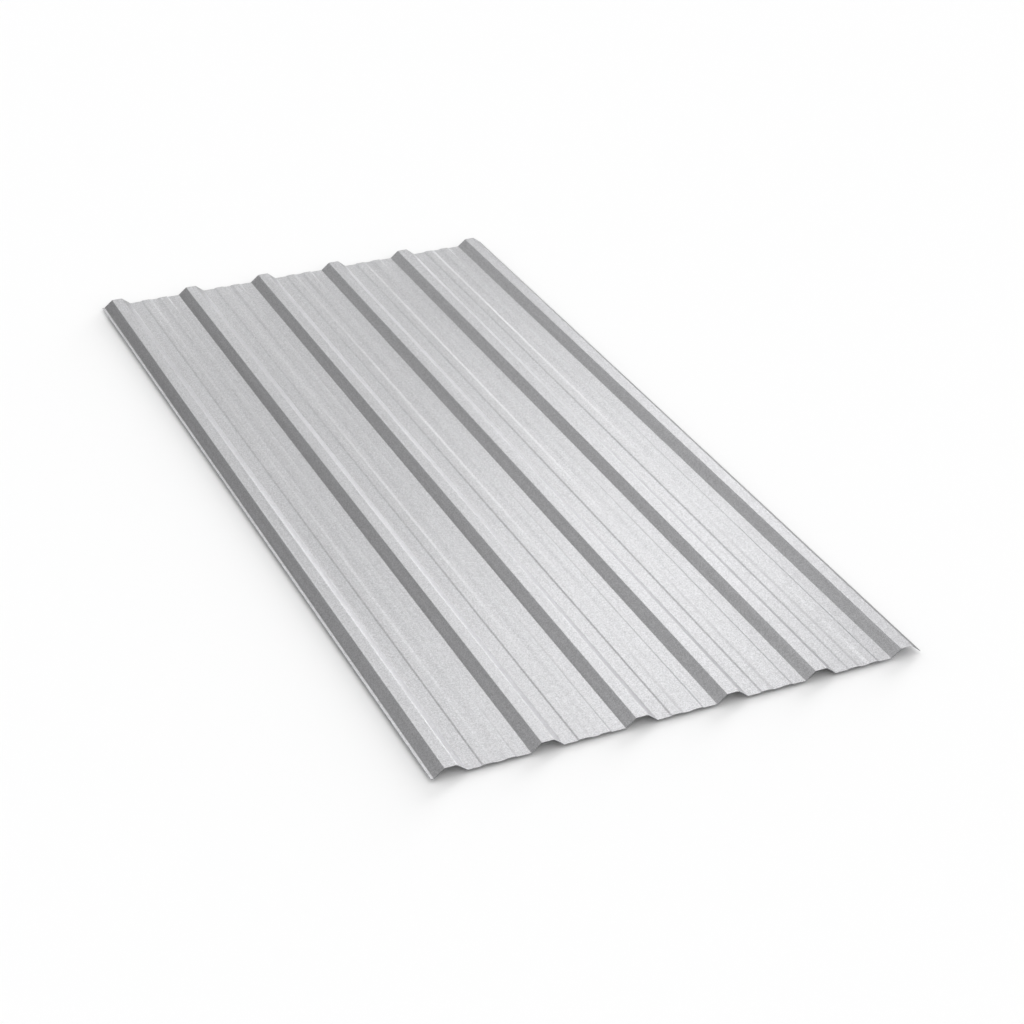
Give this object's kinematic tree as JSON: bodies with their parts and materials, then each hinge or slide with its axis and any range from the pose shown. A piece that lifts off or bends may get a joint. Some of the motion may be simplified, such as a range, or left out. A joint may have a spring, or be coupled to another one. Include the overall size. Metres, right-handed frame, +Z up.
{
  "type": "corrugated metal sheet",
  "caption": "Long roll-formed galvanised steel sheet with flat-topped trapezoidal ribs, low swages along each pan, a flat underlap lip and a free overlap edge.",
  "frame": {"origin": "middle of the sheet's length and overall width, on the plane that the pans lie on", "axes": "+X across the ribs, from the underlap lip to the overlap edge; +Y along the ribs; +Z up, the side that the ribs stand out on"},
  "size_m": [1.0752, 2.2, 0.0187],
  "materials": {
    "galvanised_steel": "hot-dip galvanised, fine spangle, satin, faint lengthwise rolling streaks"
  },
  "bodies": {
    "root": {"ribbed_sheet": "galvanised_steel"}
  },
  "joints": []
}
